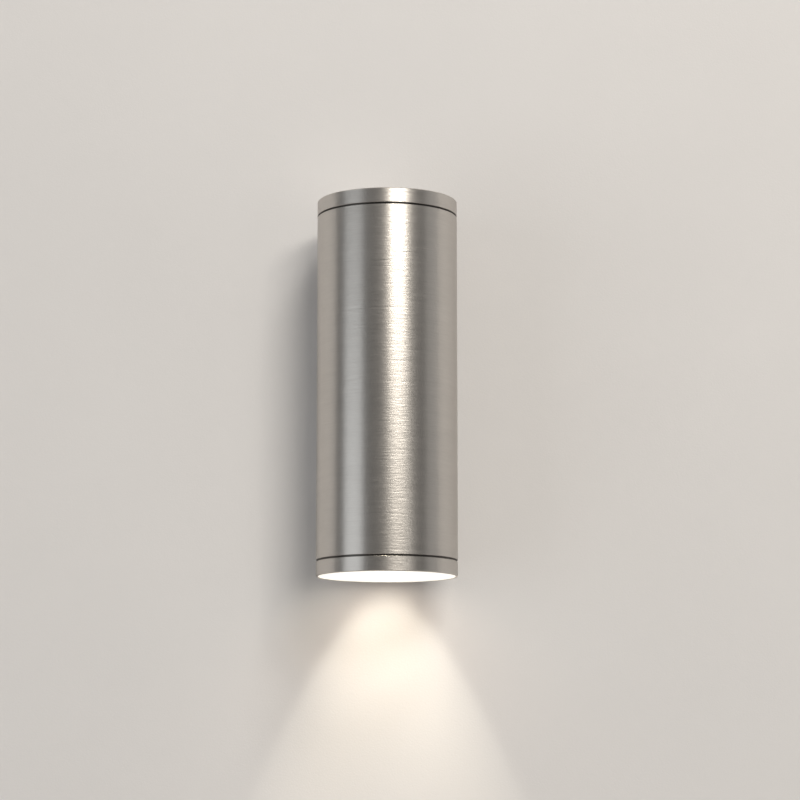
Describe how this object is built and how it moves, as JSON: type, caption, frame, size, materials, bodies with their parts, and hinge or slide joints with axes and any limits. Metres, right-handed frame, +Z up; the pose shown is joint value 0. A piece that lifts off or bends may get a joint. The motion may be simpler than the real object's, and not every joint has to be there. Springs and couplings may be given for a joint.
{
  "type": "tube wall light",
  "caption": "Slim vertical steel tube wall light with a flush frosted glass below, on a hidden wall saddle, with a screwed cap and glass ring.",
  "frame": {"origin": "centre of the wall bracket's back face, on the wall plane, at half the tube's height", "axes": "+Z up along the tube's axis, +Y into the wall, so the light faces -Y; +X to the right as seen from the room"},
  "size_m": [0.06, 0.0635, 0.1614],
  "materials": {
    "brushed_steel": "turned satin stainless steel",
    "cast_aluminium": "die-cast, satin",
    "zinc_steel": "zinc plated sheet",
    "screw_steel": "plain stainless",
    "brass": "plain",
    "black_rubber": "matte",
    "foam_rubber": "closed-cell foam",
    "white_silicone": "matte",
    "frosted_glass": "satin frosted, lit from behind",
    "steatite": "unglazed",
    "block_plastic": "moulded",
    "lamp_plastic": "moulded",
    "lamp_lens": "diffusing",
    "brown_insulation": "smooth",
    "blue_insulation": "smooth",
    "green_yellow_insulation": "green with a yellow stripe"
  },
  "bodies": {
    "fixture": {"body_tube": "brushed_steel", "wall_saddle": "cast_aluminium", "wall_gasket": "foam_rubber", "wall_bracket": "zinc_steel", "lock_screws": "screw_steel", "saddle_screws": "screw_steel", "holder_bracket": "zinc_steel", "bracket_nuts": "screw_steel", "lampholder_body": "steatite", "lampholder_face": "steatite", "lampholder_contacts": "brass", "holder_screws": "screw_steel", "terminal_block": "block_plastic", "terminal_clamps": "brass", "terminal_screws": "screw_steel", "block_screw": "screw_steel", "live_lead": "brown_insulation", "neutral_lead": "blue_insulation", "earth_lead": "green_yellow_insulation", "earth_tag": "brass", "earth_screw": "screw_steel", "cable_grommet": "black_rubber"},
    "cap_carrier": {"top_cap_seal": "black_rubber"},
    "cap": {"top_cap": "brushed_steel"},
    "bezel_carrier": {"bezel_seal": "black_rubber"},
    "bezel": {"bezel_ring": "brushed_steel", "front_glass": "frosted_glass", "glass_gasket": "white_silicone"},
    "lamp": {"lamp_body": "lamp_plastic", "lamp_lens": "lamp_lens", "lamp_base": "lamp_plastic", "lamp_pins": "brass"}
  },
  "joints": [
    {"name": "cap_rise", "type": "slide", "parent": "fixture", "child": "cap_carrier", "axis": [0, 0, 1], "range_m": [0, 0.0075]},
    {"name": "cap_turn", "type": "hinge", "parent": "cap_carrier", "child": "cap", "pos_m": [0, -0.0335, 0.0739], "axis": [0, 0, 1], "range_deg": [0, 1800]},
    {"name": "bezel_drop", "type": "slide", "parent": "fixture", "child": "bezel_carrier", "axis": [0, 0, -1], "range_m": [0, 0.0075]},
    {"name": "bezel_turn", "type": "hinge", "parent": "bezel_carrier", "child": "bezel", "pos_m": [0, -0.0335, -0.0739], "axis": [0, 0, -1], "range_deg": [0, 1800]},
    {"name": "lamp_twist", "type": "hinge", "parent": "fixture", "child": "lamp", "pos_m": [0, -0.0335, -0.02], "axis": [0, 0, -1], "range_deg": [0, 20]}
  ],
  "couplings": [
    {"joint": "cap_rise", "follows": "cap_turn", "m_per_rad": 0.00023873},
    {"joint": "bezel_drop", "follows": "bezel_turn", "m_per_rad": 0.00023873}
  ]
}
